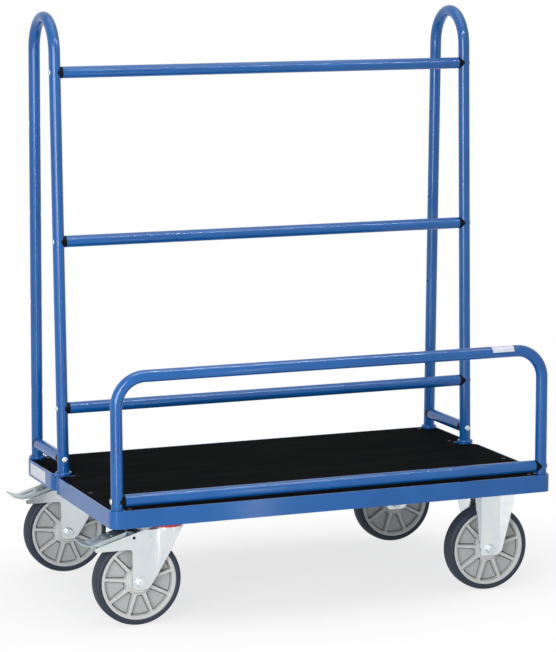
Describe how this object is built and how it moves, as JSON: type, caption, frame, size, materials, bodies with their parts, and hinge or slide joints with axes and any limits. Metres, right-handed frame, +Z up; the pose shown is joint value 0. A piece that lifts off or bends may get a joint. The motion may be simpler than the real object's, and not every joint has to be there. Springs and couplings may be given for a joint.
{
  "type": "platform truck",
  "caption": "Platform truck for panels: flat board deck, hairpin uprights with crossbars, front hoop, braked swivel casters and fixed casters.",
  "frame": {"origin": "on the floor, under the middle of the truck's bounding box", "axes": "+X along the platform from the swivel casters to the fixed ones, +Y from the hoop to the uprights, +Z up"},
  "size_m": [1.129, 0.65, 1.334],
  "materials": {
    "frame_paint": "smooth semi-gloss powder coat",
    "deck_board": "smooth dark film over plywood, satin",
    "black_plastic": "fine matt",
    "zinc": "bright zinc plating",
    "black_zinc": "black zinc plating",
    "bearing_steel": "ground and greased",
    "red_seal": "moulded, satin",
    "tyre": "smooth solid rubber, dull",
    "grey_rim": "moulded, satin"
  },
  "bodies": {
    "chassis": {"front_frame": "frame_paint", "rear_frame": "frame_paint", "middle_rail": "frame_paint", "left_cross_member": "frame_paint", "right_cross_member": "frame_paint", "tube_sleeves": "frame_paint", "deck_board": "deck_board", "deck_screws": "black_zinc", "left_upright": "frame_paint", "right_upright": "frame_paint", "foot_collars": "frame_paint", "left_strut": "frame_paint", "right_strut": "frame_paint", "strut_saddles": "black_plastic", "strut_bolts": "zinc", "top_crossbar": "frame_paint", "middle_crossbar": "frame_paint", "bottom_crossbar": "frame_paint", "crossbar_saddles": "black_plastic", "crossbar_bolts": "zinc", "front_hoop": "frame_paint", "base_bar": "frame_paint", "base_bar_saddles": "black_plastic", "base_bar_bolts": "zinc", "caster_bolts": "zinc", "caster_nuts": "zinc", "fixed_axles": "zinc", "left_front_plate": "zinc", "left_front_kingpin": "zinc", "left_rear_plate": "zinc", "left_rear_kingpin": "zinc", "right_front_bracket": "zinc", "right_rear_bracket": "zinc"},
    "left_front_swivel": {"left_front_balls": "bearing_steel", "left_front_seal": "red_seal", "left_front_fork": "zinc", "left_front_axle": "zinc", "left_front_pins": "zinc"},
    "left_front_wheel": {"left_front_tyre": "tyre", "left_front_rim": "grey_rim", "left_front_bearing": "bearing_steel"},
    "left_front_pedal": {"left_front_pedal": "zinc"},
    "left_front_shoe": {"left_front_shoe": "zinc"},
    "left_rear_swivel": {"left_rear_balls": "bearing_steel", "left_rear_seal": "red_seal", "left_rear_fork": "zinc", "left_rear_axle": "zinc", "left_rear_pins": "zinc"},
    "left_rear_wheel": {"left_rear_tyre": "tyre", "left_rear_rim": "grey_rim", "left_rear_bearing": "bearing_steel"},
    "left_rear_pedal": {"left_rear_pedal": "zinc"},
    "left_rear_shoe": {"left_rear_shoe": "zinc"},
    "right_front_wheel": {"right_front_tyre": "tyre", "right_front_rim": "grey_rim", "right_front_bearing": "bearing_steel"},
    "right_rear_wheel": {"right_rear_tyre": "tyre", "right_rear_rim": "grey_rim", "right_rear_bearing": "bearing_steel"}
  },
  "joints": [
    {"name": "left_front_swivel_turn", "type": "hinge", "parent": "chassis", "child": "left_front_swivel", "pos_m": [-0.3605, -0.266, 0.22], "axis": [0, 0, 1], "continuous": true},
    {"name": "left_front_wheel_spin", "type": "hinge", "parent": "left_front_swivel", "child": "left_front_wheel", "pos_m": [-0.4305, -0.266, 0.1], "axis": [0, 1, 0], "continuous": true},
    {"name": "left_front_pedal_press", "type": "hinge", "parent": "left_front_swivel", "child": "left_front_pedal", "pos_m": [-0.4785, -0.266, 0.193], "axis": [0, -1, 0], "range_deg": [0, 14]},
    {"name": "left_front_shoe_press", "type": "hinge", "parent": "left_front_swivel", "child": "left_front_shoe", "pos_m": [-0.406, -0.266, 0.204], "axis": [0, -1, 0], "range_deg": [0, 3.8]},
    {"name": "left_rear_swivel_turn", "type": "hinge", "parent": "chassis", "child": "left_rear_swivel", "pos_m": [-0.3605, 0.266, 0.22], "axis": [0, 0, 1], "continuous": true},
    {"name": "left_rear_wheel_spin", "type": "hinge", "parent": "left_rear_swivel", "child": "left_rear_wheel", "pos_m": [-0.4305, 0.266, 0.1], "axis": [0, 1, 0], "continuous": true},
    {"name": "left_rear_pedal_press", "type": "hinge", "parent": "left_rear_swivel", "child": "left_rear_pedal", "pos_m": [-0.4785, 0.266, 0.193], "axis": [0, -1, 0], "range_deg": [0, 14]},
    {"name": "left_rear_shoe_press", "type": "hinge", "parent": "left_rear_swivel", "child": "left_rear_shoe", "pos_m": [-0.406, 0.266, 0.204], "axis": [0, -1, 0], "range_deg": [0, 3.8]},
    {"name": "right_front_wheel_spin", "type": "hinge", "parent": "chassis", "child": "right_front_wheel", "pos_m": [0.4235, -0.266, 0.1], "axis": [0, 1, 0], "continuous": true},
    {"name": "right_rear_wheel_spin", "type": "hinge", "parent": "chassis", "child": "right_rear_wheel", "pos_m": [0.4235, 0.266, 0.1], "axis": [0, 1, 0], "continuous": true}
  ],
  "couplings": [
    {"joint": "left_front_shoe_press", "follows": "left_front_pedal_press", "ratio": 0.27},
    {"joint": "left_rear_shoe_press", "follows": "left_rear_pedal_press", "ratio": 0.27}
  ]
}
